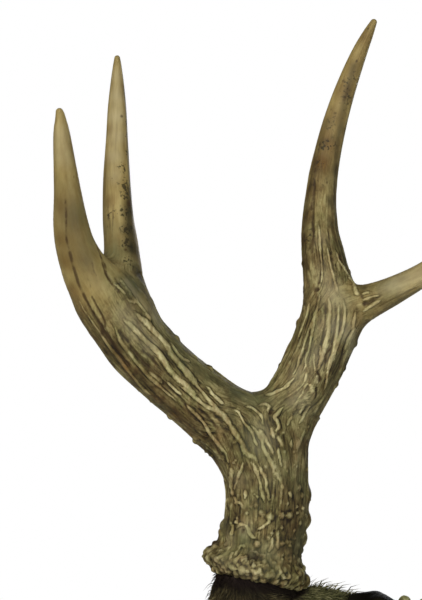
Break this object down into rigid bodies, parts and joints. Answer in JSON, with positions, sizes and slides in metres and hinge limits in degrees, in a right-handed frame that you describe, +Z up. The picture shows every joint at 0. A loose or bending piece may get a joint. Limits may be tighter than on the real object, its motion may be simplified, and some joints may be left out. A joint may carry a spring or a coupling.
{
  "type": "deer antler wall mount",
  "caption": "Forked deer antler with a knobbly burr, on a hide-covered skull cap screwed to a shield-shaped wooden plaque with a keyhole hanger on its back.",
  "frame": {"origin": "middle of the plaque's back face, which lies on the wall", "axes": "+Y into the wall, +Z up, +X to the right as seen from in front"},
  "size_m": [0.2279, 0.1157, 0.5363],
  "materials": {
    "antler": "ridged bone, satin on the ridges and dull brown in the grooves",
    "tine": "smooth worn bone, satin",
    "hide": "short dark fur",
    "bare_hide": "bare dried hide, dull",
    "dried_hide": "dried, rough",
    "walnut": "dark stained wood, satin varnish",
    "steel": "plain zinc-coated steel"
  },
  "bodies": {
    "root": {"antler_base": "antler", "left_branch": "antler", "right_branch": "antler", "left_outer_tine": "tine", "left_back_tine": "tine", "right_tall_tine": "tine", "right_side_tine": "tine", "hide_cap": "hide", "hide_flap": "bare_hide", "hide_knob_inner": "dried_hide", "hide_knob_outer": "dried_hide", "plaque": "walnut", "keyhole_plate": "steel", "plate_screw_upper": "steel", "plate_screw_lower": "steel", "cap_screw_left": "steel", "cap_screw_right": "steel"}
  },
  "joints": []
}
